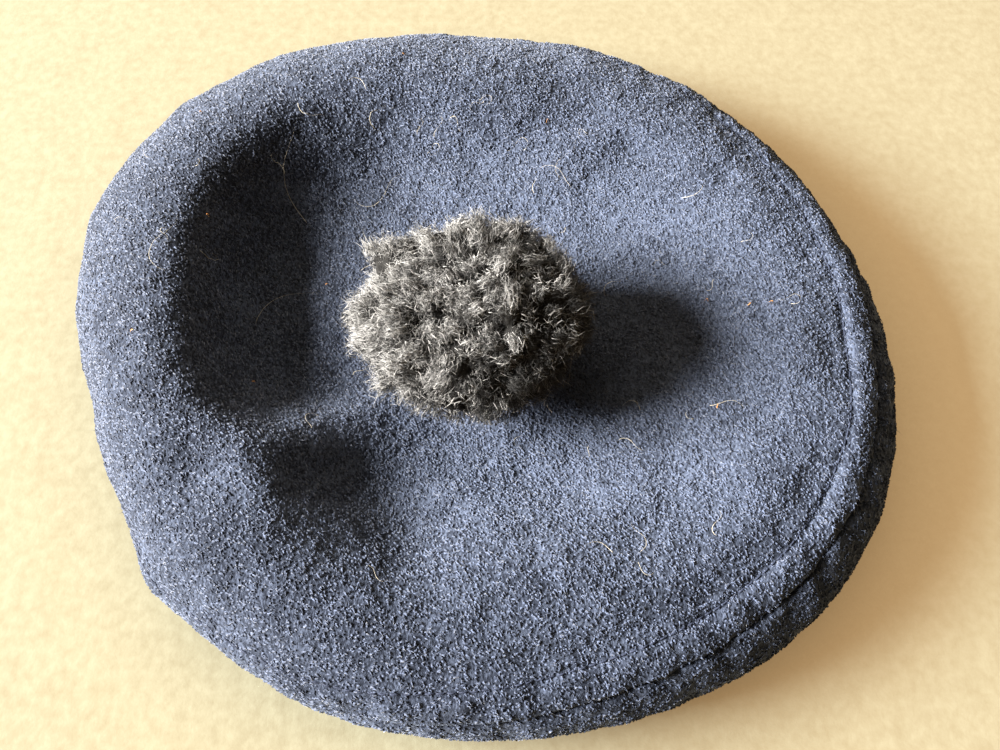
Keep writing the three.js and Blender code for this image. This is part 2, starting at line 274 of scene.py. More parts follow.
def painted_rim_shade(tree, value, amount):
    """Takes an amount off a value towards the rim as painted shade, so the cloth is painted palest round the
    middle of the painted light.
    """
    where = node(tree, "ShaderNodeTexCoord")
    away = node(tree, "ShaderNodeVectorMath", operation="LENGTH")
    flat = node(tree, "ShaderNodeMapping", Location=(-PAINTED_LIGHT_MIDDLE[0] * MM, -PAINTED_LIGHT_MIDDLE[1] * MM, 0),
                Scale=(1, 1, 0))
    tree.links.new(where.outputs["Object"], flat.inputs["Vector"])
    tree.links.new(flat.outputs["Vector"], away.inputs[0])
    share = node(tree, "ShaderNodeMapRange", From_Min=0.05, From_Max=0.13, To_Min=0.0, To_Max=-amount)
    tree.links.new(away.outputs["Value"], share.inputs["Value"])
    total = node(tree, "ShaderNodeMath", operation="ADD")
    tree.links.new(value.outputs[0], total.inputs[0])
    tree.links.new(share.outputs[0], total.inputs[1])
    return total


def grained(name, dark, light, roughness, grain, heading=0.0, relief=0.4, depth=0.4, sheen=0.0,
           rim_falloff=0.0, contrast=0.2):
    """A cloth or yarn whose grain is a stretched noise. grain is how fine it is along X, Y and Z."""
    material, tree, shader = new_material(name, light, roughness)
    shader.inputs["Sheen Weight"].default_value = sheen
    shader.inputs["Sheen Roughness"].default_value = 0.45
    shader.inputs["Sheen Tint"].default_value = (0.62, 0.72, 0.92, 1)
    threads = node(tree, "ShaderNodeTexNoise", Scale=1.0, Detail=4.0, Roughness=0.6)
    tree.links.new(stretched_position(tree, grain, heading), threads.inputs["Vector"])
    blotches = node(tree, "ShaderNodeTexNoise", Scale=70.0, Detail=3.0, Roughness=0.55)
    tree.links.new(stretched_position(tree, (1, 1, 1)), blotches.inputs["Vector"])
    total = node(tree, "ShaderNodeMath", operation="MULTIPLY_ADD")
    total.inputs[1].default_value = 0.35
    tree.links.new(blotches.outputs["Fac"], total.inputs[0])
    tree.links.new(threads.outputs["Fac"], total.inputs[2])
    # Painted shade: the colour darkens towards the rim.
    if rim_falloff:
        total = painted_rim_shade(tree, total, rim_falloff)
    middle = [(a + b) / 2 for a, b in zip(dark, light)]
    stops = [(0.66 - contrast, dark), (0.66, middle), (0.66 + contrast, light)]
    tree.links.new(colour_ramp(tree, total.outputs[0], stops), shader.inputs["Base Color"])
    bump = node(tree, "ShaderNodeBump", Strength=relief, Distance=depth * MM)
    tree.links.new(total.outputs[0], bump.inputs["Height"])
    tree.links.new(bump.outputs["Normal"], shader.inputs["Normal"])
    return material


def fibre(name, colour, sheen=0.3):
    """One tint of loose fibre. Each hair is geometry, and hairs of several tints lie mixed."""
    material, _, shader = new_material(name, colour, 0.75)
    shader.inputs["Sheen Weight"].default_value = sheen
    shader.inputs["Sheen Roughness"].default_value = 0.5
    return material


# ---- Meshes ----

def facing_out(points, faces):
    """Turns a closed mesh's faces outward: its signed volume is then positive."""
    corners = [points[faces[:, k]] for k in range(faces.shape[1])]
    volume = 0.0
    for second, third in zip(corners[1:-1], corners[2:]):
        volume += np.einsum("ij,ij->", corners[0], np.cross(second, third))
    return faces if volume > 0 else faces[:, ::-1]


def mesh_object(name, points, faces, material):
    """faces is a list of arrays of corner numbers, one for the quads and one for the triangles."""
    mesh = bpy.data.meshes.new(name)
    corners = np.concatenate([f.ravel() for f in faces]).astype(np.int32)
    sizes = np.concatenate([np.full(len(f), f.shape[1]) for f in faces]).astype(np.int32)
    mesh.vertices.add(len(points))
    mesh.vertices.foreach_set("co", (np.asarray(points, float) * MM).astype(np.float32).ravel())
    mesh.loops.add(len(corners))
    mesh.loops.foreach_set("vertex_index", corners)
    mesh.polygons.add(len(sizes))
    mesh.polygons.foreach_set("loop_start", (np.cumsum(sizes) - sizes).astype(np.int32))
    mesh.polygons.foreach_set("use_smooth", np.ones(len(sizes), bool))
    mesh.update(calc_edges=True)
    mesh.validate()
    mesh.materials.append(material)
    made = bpy.data.objects.new(name, mesh)
    bpy.context.scene.collection.objects.link(made)
    return made


def grid_faces(rows, columns):
    """Quads for rows of points, where each row goes all round and closes on itself."""
    row, column = np.meshgrid(np.arange(rows - 1), np.arange(columns), indexing="ij")
    after = (column + 1) % columns
    quad = [row * columns + column, row * columns + after,
            (row + 1) * columns + after, (row + 1) * columns + column]
    return np.stack(quad, -1).reshape(-1, 4)


def closed_ring(name, rows, material):
    """A ring from rows of points that each go all round. The last row joins on to the first."""
    count, columns = rows.shape[:2]
    points = rows.reshape(-1, 3)
    faces = grid_faces(count + 1, columns) % len(points)
    return mesh_object(name, points, [facing_out(points, faces)], material)


def closed_ball(name, rows, material):
    """A ball from rows that go all round it, with a point added at each end."""
    count, columns = rows.shape[:2]
    points = np.concatenate([rows.reshape(-1, 3), [rows[0].mean(0)], [rows[-1].mean(0)]])
    sides = grid_faces(count, columns)
    first = np.arange(columns)
    last = first + (count - 1) * columns
    start = np.stack([np.roll(first, -1), first, np.full(columns, count * columns)], -1)
    end = np.stack([last, np.roll(last, -1), np.full(columns, count * columns + 1)], -1)
    if facing_out(points, sides) is not sides:
        sides, start, end = sides[:, ::-1], start[:, ::-1], end[:, ::-1]
    return mesh_object(name, points, [sides, np.concatenate([start, end])], material)


def unit(vectors):
    """The vectors at a length of 1."""
    return vectors / np.linalg.norm(vectors, axis=-1, keepdims=True)


def box_of(node):
    """A CAD node's lowest and highest corners, in millimetres."""
    return (np.array(corner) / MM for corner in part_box(node))


def ring_tube(name, course, normal, radius, material, sides=6):
    """Thread along a closed course. course and normal have one row for each point."""
    along = np.roll(course, -1, 0) - np.roll(course, 1, 0)
    side = unit(np.cross(along, normal))
    angle = np.linspace(0, TURN, sides, endpoint=False)[:, None, None]
    rows = course + radius * (np.cos(angle) * unit(normal) + np.sin(angle) * side)
    return closed_ring(name, rows, material)


def hairs(name, paths, width, material):
    """Closed three-sided hairs that taper to a point. paths has each hair's points, root first."""
    count, steps = paths.shape[:2]
    along = paths[:, -1] - paths[:, 0]
    side = unit(np.cross(along, random.normal(size=(count, 3))))
    other = unit(np.cross(along, side))
    angle = TURN * np.arange(3)[:, None] / 3
    ring = np.cos(angle) * side[:, None] + np.sin(angle) * other[:, None]
    taper = 1 - np.arange(steps - 1) / (steps - 1)
    radius = np.broadcast_to(width, count)[:, None] * taper / 2
    body = paths[:, :-1, None] + radius[..., None, None] * ring[:, None]
    points = np.concatenate([body.reshape(count, -1, 3), paths[:, -1:]], 1)
    size = points.shape[1]
    quads = [[3 * k + s, 3 * k + (s + 1) % 3, 3 * k + 3 + (s + 1) % 3, 3 * k + 3 + s]
             for k in range(steps - 2) for s in range(3)]
    triangles = [[0, 2, 1]] + [[size - 4 + s, size - 4 + (s + 1) % 3, size - 1] for s in range(3)]
    start = size * np.arange(count)[:, None, None]
    faces = [(start + np.array(each)).reshape(-1, len(each[0])) for each in (quads, triangles) if each]
    return mesh_object(name, points.reshape(-1, 3), faces, material)


def scatter(rows, count, weight=1.0):
    """Random points on the surface that the rows make, with the surface's normal at each."""
    quads = grid_faces(*rows.shape[:2])
    a, b, c, d = (rows.reshape(-1, 3)[quads[:, k]] for k in range(4))
    normal = np.cross(c - a, d - b)
    shape = (len(rows) - 1, rows.shape[1])
    area = np.linalg.norm(normal, axis=-1) * np.broadcast_to(weight, shape).ravel()
    pick = random.choice(len(quads), count, p=area / area.sum())
    u, v = random.random((2, count, 1))
    points = (a[pick] * (1 - u) + b[pick] * u) * (1 - v) + (d[pick] * (1 - u) + c[pick] * u) * v
    return points, unit(normal[pick])


# ---- The cap's surface ----

def between(direction, other):
    """The angle from one direction to another, from minus half a turn to half a turn."""
    return (direction - other + math.pi) % TURN - math.pi


def bulge(direction, middle, spread, height):
    """A smooth bump round one direction."""
    return height * np.exp(-(between(direction, middle) / spread) ** 2)


def sideways_slump(direction):
    """How far the cloth has slumped out past the outline's even shape."""
    return (bulge(direction, OUTLINE_SWELL_DIRECTION, OUTLINE_SWELL_SPREAD, OUTLINE_SWELL)
            + bulge(direction, SEAM_CORNER_DIRECTION, SEAM_CORNER_SPREAD, SEAM_CORNER))


def outline_at(direction):
    """How far the cap's widest line is from the opening's middle."""
    return (OUTLINE_RADIUS
            + OUTLINE_OVAL * np.cos(2 * (direction - OUTLINE_OVAL_DIRECTION))
            + OUTLINE_LEAN * np.cos(3 * (direction - OUTLINE_LEAN_DIRECTION))
            + OUTLINE_SQUARENESS * np.cos(4 * (direction - OUTLINE_SQUARE_DIRECTION))
            + sideways_slump(direction))


def crest_height_at(direction):
    """How high the rim's crest is."""
    return CREST_HEIGHT + CREST_RISE * np.cos(direction - CREST_HIGH_DIRECTION)


def rim_width_at(direction):
    """How far the rolled rim's crest lies inside the outline."""
    return (RIM_WIDTH
            - RIM_WIDTH_RISE * np.cos(direction)
            - RIM_WIDTH_OVAL * np.cos(2 * direction)
            - bulge(direction, CREST_BULGE_DIRECTION, CREST_BULGE_SPREAD, CREST_BULGE)
            + sideways_slump(direction))


def seam_place(direction):
    """Where the rim's seam runs: it rides up over the rim on one side."""
    angle = SEAM_ANGLE - SEAM_ANGLE_SWING * np.cos(direction - SEAM_HIGH_DIRECTION)
    return 1 + angle / math.pi


def swell(x, y, centre, spread, heading, height):
    """A smooth bump, or a hollow where its height is negative, longer one way than the other."""
    along = (x - centre[0]) * math.cos(heading) + (y - centre[1]) * math.sin(heading)
    across = (y - centre[1]) * math.cos(heading) - (x - centre[0]) * math.sin(heading)
    return height * np.exp(-(along / spread[0]) ** 2 - (across / spread[1]) ** 2)


# How the slack crown lies: (middle, (half length, half width), heading, height).
FOLDS = (
    ((-52, -46), (24, 11), math.radians(27), 6.5),    # the fold from the rim towards the pompom
    ((-80, -62), (14, 13), math.radians(27), -5.0),   # where that fold crosses the rim's crest
    ((-30, -74), (32, 18), math.radians(-35), -9.5),  # the hollow below that fold
    ((30, 60), (30, 9), math.radians(33), 1.8),
    ((52, 66), (20, 9), math.radians(-45), -2.0),
    ((36, -48), (40, 24), math.radians(-35), -1.6),
)


def hollow_at(direction, place):
    """The depth of the long hollow inside the high side of the rim, where the crown has sunk."""
    away = np.abs(between(direction, HOLLOW_DIRECTION))
    inside = 1 / (1 + np.exp((away - HOLLOW_HALF_ANGLE) / HOLLOW_END_ANGLE))
    spread = np.where(place < HOLLOW_PLACE, HOLLOW_INNER_SPREAD, HOLLOW_SPREAD)
    return HOLLOW_DEPTH * inside * np.exp(-((place - HOLLOW_PLACE) / spread) ** 2)


def looseness(place):
    """How free the cloth is to slump: not at its tied middle, and no longer at the widest point."""
    share = np.clip(place, 0, 1)
    rim_falloff = np.clip(3 - 2 * place, 0, 1)
    return share ** 2 / (share ** 2 + MIDDLE_HOLD ** 2) * rim_falloff * rim_falloff * (3 - 2 * rim_falloff)


def cap_point(direction, place):
    """Points on the cap's cloth. Place 0 to 1 is the dish, 1 to 2 the rolled rim, 2 to 3 the flat."""
    direction, place = np.broadcast_arrays(direction, place)
    outside = outline_at(direction)
    width = rim_width_at(direction)
    crest = crest_height_at(direction)
    cos, sin = np.cos(direction), np.sin(direction)

    share = np.clip(place, 0, 1)
    rise = (1 - np.cos(math.pi * share ** (DISH_STEEPNESS - DISH_STEEPNESS_LEAN * cos))) / 2
    dish_x = CROWN_MIDDLE[0] * (1 - share) + (outside - width) * cos * share
    dish_y = CROWN_MIDDLE[1] * (1 - share) + (outside - width) * sin * share
    dish_z = DISH_FLOOR + (crest - DISH_FLOOR) * rise

    angle = (np.clip(place, 1, 2) - 1) * math.pi
    upper = angle <= math.pi / 2
    reach = np.where(upper, width, width * UNDERSIDE_TUCK)
    tall = np.where(upper, crest - WIDEST_HEIGHT, WIDEST_HEIGHT - UNDERSIDE_HEIGHT)
    rim_radius = outside - reach + reach * np.sin(angle)
    flat = np.clip(place - 2, 0, 1)
    rim_radius = rim_radius + (PANEL_OPENING_RADIUS - rim_radius) * flat
    rim_z = WIDEST_HEIGHT + tall * np.cos(angle)

    in_dish = place <= 1
    x = np.where(in_dish, dish_x, rim_radius * cos)
    y = np.where(in_dish, dish_y, rim_radius * sin)
    z = np.where(in_dish, dish_z, rim_z)
    lift = sum(swell(x, y, *each) for each in FOLDS) - hollow_at(direction, place)
    z = z + looseness(place) * lift
    return np.stack([x + OPENING_MIDDLE[0], y + OPENING_MIDDLE[1], z], -1)


def cap_normal(direction, place):
    """The way out of the cap's cloth at each place."""
    step = 0.002
    across = cap_point(direction + step, place) - cap_point(direction - step, place)
    along = cap_point(direction, np.minimum(place + step, 3))
    along = along - cap_point(direction, np.maximum(place - step, 0))
    return unit(np.cross(along, across))


def place_along(direction, place, distance):
    """The place that lies a distance along the cloth from another one."""
    strides, step = 8, 0.002
    place = np.broadcast_to(place, np.shape(direction)).astype(float)
    for _ in range(strides):
        ahead = cap_point(direction, place + step) - cap_point(direction, place)
        place = place + distance / strides * step / np.linalg.norm(ahead, axis=-1)
    return place


def unevenness(points, size, seed):
    """Smooth noise at each point, for lumps about that many millimetres apart."""
    shift = Vector((seed * 17.3, seed * 5.1, seed * 9.7))
    values = [noise.noise(Vector(p) + shift) for p in points.reshape(-1, 3) / size]
    return np.array(values).reshape(points.shape[:-1])


def dent(distance, width, depth):
    """A smooth groove, at no distance from its own line."""
    return -depth * np.exp(-(distance / width) ** 2)


def around(columns):
    """Directions all round, as one row."""
    return np.linspace(0, TURN, columns, endpoint=False)[None, :]


def sheet_ring(name, points, normal, lift, thickness, material):
    """Cloth as a closed ring: its outer face, and below it a plainer inner one."""
    outer = points + normal * lift[..., None]
    kept = np.r_[0:len(points) - 1:4, len(points) - 1]
    depth = np.minimum(lift, 0.4 * thickness) - thickness
    inner = (points + normal * depth[..., None])[kept]
    return closed_ring(name, np.concatenate([outer, inner[::-1]]), material), outer


# ---- The cap's pieces ----

def about_opening(direction, radius, height):
    """Points about the head opening's upright axis."""
    x = OPENING_MIDDLE[0] + radius * np.cos(direction)
    y = OPENING_MIDDLE[1] + radius * np.sin(direction)
    return np.stack(np.broadcast_arrays(x, y, height), -1)


def groove_at(direction, seed):
    """How deeply a row of stitches has sunk: most on the side where the seam rides high."""
    circle = 60 * np.stack([np.cos(direction), np.sin(direction), 0 * direction], -1)
    uneven = 0.85 + 0.7 * unevenness(circle, 14, seed)
    return np.clip(uneven, 0.2, 1.4) * (0.3 + bulge(direction, SEAM_HIGH_DIRECTION, 0.75, 0.7))


def crown_lift(direction, points, to_edge):
    """How far the crown's cloth lies off its smooth shape, by the distance to its sewn edge."""
    slack = 1.2 * unevenness(points, 26, 1) + 0.5 * unevenness(points, 9, 2)
    slack = slack + 0.28 * unevenness(points, 2.6, 3)
    allowance = 1 / (1 + np.exp((to_edge - SEAM_ALLOWANCE) / 0.8))
    near_seam = np.exp(-((to_edge - TOPSTITCH_INSET / 2) / 7) ** 2)
    puckers = (0.8 * unevenness(points, 7.5, 4) + 0.4 * unevenness(points, 3.4, 9)) * near_seam
    wander = 1.1 * unevenness(points, 22, 10)
    inner = dent(to_edge - TOPSTITCH_INSET - wander, 1.7, 1.6) * groove_at(direction, 12)
    dip = dent(to_edge - TOPSTITCH_INSET - 4, 5.5, 1.2) * groove_at(direction, 12)
    outer = dent(to_edge, 1.8, 0.8) * groove_at(direction, 13)
    return slack + 0.8 * allowance + puckers + inner + dip + outer


def crown_cloth(material):
    """The crown's cloth, with its outer face's rows of points from the middle to the seam."""
    direction = around(CLOTH_COLUMNS)
    seam = seam_place(direction)
    dish = np.concatenate([np.linspace(0.004, 0.3, 10), np.linspace(0.31, 0.86, 48)])[:, None]
    outer = 0.87 + (seam - 0.87) * np.linspace(0, 1, 50)[:, None]
    place = np.concatenate([dish + 0 * direction, outer])
    points = cap_point(direction, place)
    step = np.linalg.norm(np.diff(points, axis=0), axis=-1)
    to_edge = np.concatenate([np.cumsum(step[::-1], axis=0)[::-1], 0 * direction])
    lift = crown_lift(np.broadcast_to(direction, place.shape), points, to_edge)
    return sheet_ring("crown_cloth", points, cap_normal(direction, place), lift,
                      CLOTH_THICKNESS, material)


def underside_cloth(material):
    """The underside's cloth, tucked in under the crown's edge, with its outer face's rows of points."""
    direction = around(CLOTH_COLUMNS)
    seam = seam_place(direction)
    tucked = place_along(direction, seam, -SEAM_ALLOWANCE)
    inner = tucked + (seam - tucked) * np.linspace(0, 1, 6)[:, None]
    start = place_along(direction, seam, 0.6)
    rim = start + (2 - start) * np.linspace(0, 1, 44)[:, None]
    flat = np.linspace(2.04, 3, 20)[:, None] + 0 * direction
    place = np.concatenate([inner, rim, flat])
    points = cap_point(direction, place)
    under_crown = np.where(place < start, CLOTH_THICKNESS + LAYER_GAP, 0)
    rim_arc = math.pi * 0.7 * rim_width_at(direction)
    from_edge = np.maximum(0, place - seam) * rim_arc
    lift = 0.5 * unevenness(points, 9, 5) + 0.28 * unevenness(points, 2.6, 6)
    near_seam = np.exp(-(from_edge / 14) ** 2)
    lift = lift + (0.8 * unevenness(points, 7.5, 14) + 0.4 * unevenness(points, 3.4, 15)) * near_seam
    lift = lift + dent(from_edge, 1.8, 0.8) * groove_at(np.broadcast_to(direction, place.shape), 13)
    lying = np.clip((place - 1.85) / 0.15, 0, 1)
    lift = np.where(place < start, 0, lift) * (1 - lying) - under_crown
    return sheet_ring("underside_cloth", points, cap_normal(direction, place), lift,
                      CLOTH_THICKNESS, material)


def lining_ring(name, direction, start, end, depth_start, depth_end, pleat, material):
    """Thin satin inside the cloth, from one place to another. It puckers inward only."""
    share = np.linspace(0, 1, 44)[:, None]
    place = start + (end - start) * share
    points = cap_point(direction, place)
    creases = 0.5 + 0.5 * np.cos(direction * 74 + 9 * unevenness(points, 40, 7))
    creases = creases * pleat + 1.4 * np.abs(unevenness(points, 14, 8))
    settled = np.sin(math.pi * np.clip(share, 0.02, 0.98)) ** 0.5
    depth = depth_start + (depth_end - depth_start) * share + 1.2 * creases * settled
    return sheet_ring(name, points, cap_normal(direction, place), -depth,
                      LINING_THICKNESS, material)[0]


def stitch_count(length):
    """How many stitches go round the cap."""
    return round(TURN * OUTLINE_RADIUS / length)


def sewn(name, points, normal, count, material):
    """Thread along a course: it lies on the cloth for most of a stitch, then dips through it."""
    phase = np.linspace(0, count, len(points), endpoint=False)
    height = 3.2 * THREAD_RADIUS * (np.abs(np.sin(math.pi * phase)) ** 0.4) - 2.4 * THREAD_RADIUS
    return ring_tube(name, points + normal * height[:, None], normal, THREAD_RADIUS, material)


def rim_stitches(name, inset, depth, length, material):
    """A row of stitches all round the rim, set in from the seam. With no depth it lies on the crown."""
    count = stitch_count(length)
    direction = np.linspace(0, TURN, count * 8, endpoint=False)
    place = place_along(direction, seam_place(direction), -inset)
    points = cap_point(direction, place)
    normal = cap_normal(direction, place)
    if depth is None:
        lift = crown_lift(direction, points, np.full(len(points), inset))[:, None]
    else:
        lift = -depth
    return sewn(name, points + normal * lift, normal, count, material)


def opening_stitches(name, thread_node, length, material):
    """A row of stitches round the head opening, where the frame has that row's thread."""
    low, high = box_of(thread_node)
    count = stitch_count(length)
    direction = np.linspace(0, TURN, count * 8, endpoint=False)
    reach = (high[0] - low[0]) / 2 - THREAD_RADIUS
    points = about_opening(direction, reach, (low[2] + high[2]) / 2)
    return sewn(name, points, np.array([[0.0, 0.0, 1.0]]) + 0 * points, count, material)


def ribbed_ring(name, section, rib, depth, material):
    """Ribbon round the head opening. section has its (radius, height) corners, and ribs cross it."""
    corner = np.array(section, float)
    ends = np.roll(corner, -1, 0)
    cuts = np.maximum(2, np.ceil(np.linalg.norm(ends - corner, axis=1) / 1.6)).astype(int)
    course = np.concatenate([a + (b - a) * np.arange(n)[:, None] / n
                             for a, b, n in zip(corner, ends, cuts)])
    along = np.roll(course, -1, 0) - np.roll(course, 1, 0)
    out = unit(np.stack([along[:, 1], -along[:, 0]], -1))
    ribs = round(TURN * HEAD_OPENING_RADIUS / rib)
    direction = np.linspace(0, TURN, ribs * 4, endpoint=False)
    push = depth * (np.cos(direction * ribs) - 1) / 2
    radius = course[:, :1] + out[:, :1] * push
    height = course[:, 1:] + out[:, 1:] * push
    return closed_ring(name, about_opening(direction, radius, height), material)


def turned_sweatband(name, rib, depth, material):
    """The sweatband, turned outward over the lining, with ribs across its width."""
    ribs = round(TURN * HEAD_OPENING_RADIUS / rib)
    direction = around(ribs * 4)
    edge = SWEATBAND_RADIUS - PANEL_OPENING_RADIUS
    rim_end = np.linalg.norm(cap_point(direction, 2.0)[..., :2] - OPENING_MIDDLE, axis=-1)
    sewn_place = 3 - edge / (rim_end - PANEL_OPENING_RADIUS)
    place = SWEATBAND_FREE_PLACE + (sewn_place - SWEATBAND_FREE_PLACE) * np.linspace(0, 1, 16)[:, None]
    points = cap_point(direction, place)
    normal = cap_normal(direction, place)
    push = depth * (1 - np.cos(direction * ribs)) / 2
    upper = points - normal * (SWEATBAND_DEPTH + push)[..., None]
    lower = points - normal * (SWEATBAND_DEPTH + SWEATBAND_THICKNESS - push)[..., None]
    return closed_ring(name, np.concatenate([upper, lower[::-1]]), material)


def felt_disc(name, node, material):
    """The stay disc under the crown's middle: felt, cut by hand, with a hole for the tie cord."""
    low, high = box_of(node)
    middle = (low + high) / 2
    outside = (high[0] - low[0]) / 2
    hole, thick = 1.3, high[2] - low[2]
    direction = around(160)
    share = np.linspace(0, 1, 14)[:, None]
    reach = hole + (outside - hole - 0.4) * share
    ragged = 0.4 * np.cos(direction * 9 + 2 * np.cos(direction * 4)) * share ** 6
    top = np.stack([middle[0] + (reach + ragged) * np.cos(direction),
                    middle[1] + (reach + ragged) * np.sin(direction),
                    high[2] - 0.12 + 0 * (reach + ragged)], -1)
    top[..., 2] = top[..., 2] + 0.12 * unevenness(top, 1.6, 31)
    bottom = top - np.array([0, 0, thick - 0.24])
    return closed_ring(name, np.concatenate([top, bottom[::-1]]), material)


# ---- Loose hair on the cloth ----

def painted_rim_shade_weight(surface, share):
    """How thick one tint of nap is on each part of a surface: 1 in the middle, share at the rim. This paints
    shade at the rim and light in the middle.
    """
    quads = surface[:-1, :, :2]
    away = np.linalg.norm(quads - np.array(PAINTED_LIGHT_MIDDLE), axis=-1)
    return 1 + (share - 1) * np.clip((away - 50) / 80, 0, 1)


def nap(name, surface, count, length, width, material, weight=1.0):
    """The cloth's short brushed hairs, most of them lying the way the cloth was brushed."""
    roots, normal = scatter(surface, count, weight)
    heading = NAP_HEADING + NAP_SPREAD * random.normal(size=count)
    lie = np.stack([np.cos(heading), np.sin(heading), np.zeros(count)], -1)
    lie = unit(lie - normal * np.einsum("ij,ij->i", lie, normal)[:, None])
    stand = np.radians(random.uniform(4, 38, (count, 1)))
    reach = length * random.uniform(0.55, 1.35, (count, 1))
    tips = roots + reach * (lie * np.cos(stand) + normal * np.sin(stand))
    paths = np.stack([roots - 0.25 * normal, tips], 1)
    return hairs(name, paths, width * random.uniform(0.7, 1.3, count), material)


def curled(root, heading, length, curl, rise=1.2, steps=14):
    """A loose hair's X, Y and rise off the cloth, from root to tip."""
    share = np.linspace(0, 1, steps)
    angle = heading + curl * np.sin(share * 4.2 + root[0])
    stride = length / (steps - 1)
    x = root[0] + np.concatenate([[0], np.cumsum(np.cos(angle[:-1]))]) * stride
    y = root[1] + np.concatenate([[0], np.cumsum(np.sin(angle[:-1]))]) * stride
    return x, y, rise * np.sin(math.pi * share)


def lint(name, rows, count, length, width, material):
    """Pale loose hairs that have settled on the crown at random."""
    roots, _ = scatter(rows, count)
    flat = rows.reshape(-1, 3)
    paths = []
    for root in roots:
        reach = length * random.uniform(0.5, 1.5)
        x, y, rise = curled(root, random.uniform(0, TURN), reach, random.uniform(0.5, 2.2))
        near = [np.argmin((flat[:, 0] - a) ** 2 + (flat[:, 1] - b) ** 2) for a, b in zip(x, y)]
        paths.append(np.stack([x, y, flat[near, 2] + 0.5 + rise], -1))
    return hairs(name, np.array(paths), width, material)


# ---- The pompom ----

def ray(heading, elevation):
    """The way out at a heading and an elevation in degrees."""
    a, e = math.radians(heading), math.radians(elevation)
    return np.array([math.cos(a) * math.cos(e), math.sin(a) * math.cos(e), math.sin(e)])


def pompom_tufts():
    """The cut yarn ends, spread evenly over the ball and then pushed about."""
    index = np.arange(POMPOM_TUFTS) + 0.5
    height = 1 - 2 * index / POMPOM_TUFTS
    turn = index * math.pi * (3 - math.sqrt(5))
    across = np.sqrt(1 - height ** 2)
    even = np.stack([across * np.cos(turn), across * np.sin(turn), height], -1)
    return unit(even + TUFT_SPREAD * random.normal(size=even.shape))


def pompom_surface(rays, tufts, tall):
    """The woolly ball along each ray from its middle, with a dome for each tuft of yarn."""
    low, high = box_of("pompom_yarn")
    middle, half = (low + high) / 2, (high - low) / 2
    flat = rays.reshape(-1, 3)
    apart = np.arccos(np.clip(flat @ tufts.T, -1, 1)) / (TUFT_SPREAD + TUFT_SPREAD * tall)
    nearest = np.argmin(apart, axis=1)
    distance = apart[np.arange(len(flat)), nearest]
    dome = np.sqrt(np.clip(1 - distance ** 2, 0, 1)) * tall[nearest]
    surface = middle + flat * (half - POMPOM_HAIR)
    reach = 3.4 * unevenness(surface, 19, 11) + 2.0 * unevenness(surface, 6, 12) - 0.8
    for heading, elevation, spread, height in POMPOM_BULGES:
        away = np.arccos(np.clip(flat @ ray(heading, elevation), -1, 1)) / spread
        reach = reach + height * np.exp(-away ** 2)
    surface = surface + flat * (POMPOM_DOME * dome + reach)[:, None]
    return surface.reshape(rays.shape)


def pompom_rays(rows, columns):
    """Rays all round a ball, in rows from its top to its bottom."""
    tilt = np.linspace(0.03, math.pi - 0.03, rows)[:, None]
    turn = around(columns)
    return np.stack([np.sin(tilt) * np.cos(turn), np.sin(tilt) * np.sin(turn),
                     np.cos(tilt) + 0 * turn], -1)


def flow(points, size, seed):
    """A smooth field of directions, which makes neighbouring hairs lean together."""
    return np.stack([unevenness(points, size, seed + k) for k in range(3)], -1) * 2


def tuft_hair(name, bases, tufts, tall, weight, count, length, width, material):
    """Crimped fibres of the cut yarn: each tuft's fibres draw together towards its leaning tip."""
    pick = random.choice(len(tufts), count, p=weight / weight.sum())
    lean = unit(tufts + 0.9 * flow(bases, 9, 20) + 0.35 * random.normal(size=tufts.shape))[pick]
    aside = random.normal(size=(count, 3))
    aside = aside - lean * np.einsum("ij,ij->i", aside, lean)[:, None]
    reach = (length * (0.45 + 0.9 * tall[pick]) * random.uniform(0.15, 1.1, count))[:, None]
    curl = unit(random.normal(size=(count, 3)))
    # The fibres start apart, round the tuft's foot, and lean in towards its tip.
    roots = bases[pick] + 1.6 * aside - 0.8 * tufts[pick] + lean * reach * 0.5
    middle = roots + lean * reach * 0.3 - 0.3 * aside + 1.0 * curl
    tips = roots + lean * reach * 0.5 - 0.5 * aside + 1.3 * random.normal(size=aside.shape)
    return hairs(name, np.stack([roots, middle, tips], 1), width * random.uniform(0.6, 1.5, count), material)


def stray_hairs(name, rows, count, length, width, material):
    """Longer single fibres that stand out of the pompom and curl over."""
    roots, normal = scatter(rows, count)
    heading = unit(normal + 0.6 * random.normal(size=roots.shape))
    droop = unit(random.normal(size=roots.shape))
    share = np.linspace(0, 1, 3)[None, :, None]
    reach = length * random.uniform(0.4, 1.4, (count, 1, 1))
    paths = roots[:, None] + reach * (heading[:, None] * share + 0.45 * droop[:, None] * share ** 2)
    paths[..., 2] = np.maximum(paths[..., 2], 0.3)
    return hairs(name, paths, width, material)


# ---- The cords of the pompom ----

def knot_course(centre, size, count=120):
    """A trefoil, which is a simple overhand knot drawn tight."""
    t = np.linspace(0, TURN, count, endpoint=False)
    x = np.sin(t) + 2 * np.sin(2 * t)
    y = np.cos(t) - 2 * np.cos(2 * t)
    return np.array(centre) + size / 3 * np.stack([x, y, -np.sin(3 * t)], -1)


def cord_rows(course, along, across, radius):
    """The surface of a three-ply cord: a row of points round it for each point of its course."""
    side = unit(np.cross(along, across))
    other = np.cross(along, side)
    angle = np.linspace(0, TURN, CORD_SIDES, endpoint=False)[None, :]
    twist = PLIES * angle + np.arange(len(course))[:, None] * TURN / CORD_POINTS_A_TWIST
    size = radius * (1 + PLY_RELIEF * np.cos(twist))[..., None]
    angle = angle[..., None]
    return course[:, None] + size * (np.cos(angle) * side[:, None] + np.sin(angle) * other[:, None])


def cord_ring(name, course, radius, material):
    """Cord along a closed course."""
    along = unit(np.roll(course, -1, 0) - np.roll(course, 1, 0))
    rows = cord_rows(course, along, [0.3, 0.2, 1.0], radius)
    return closed_ring(name, rows.swapaxes(0, 1), material)


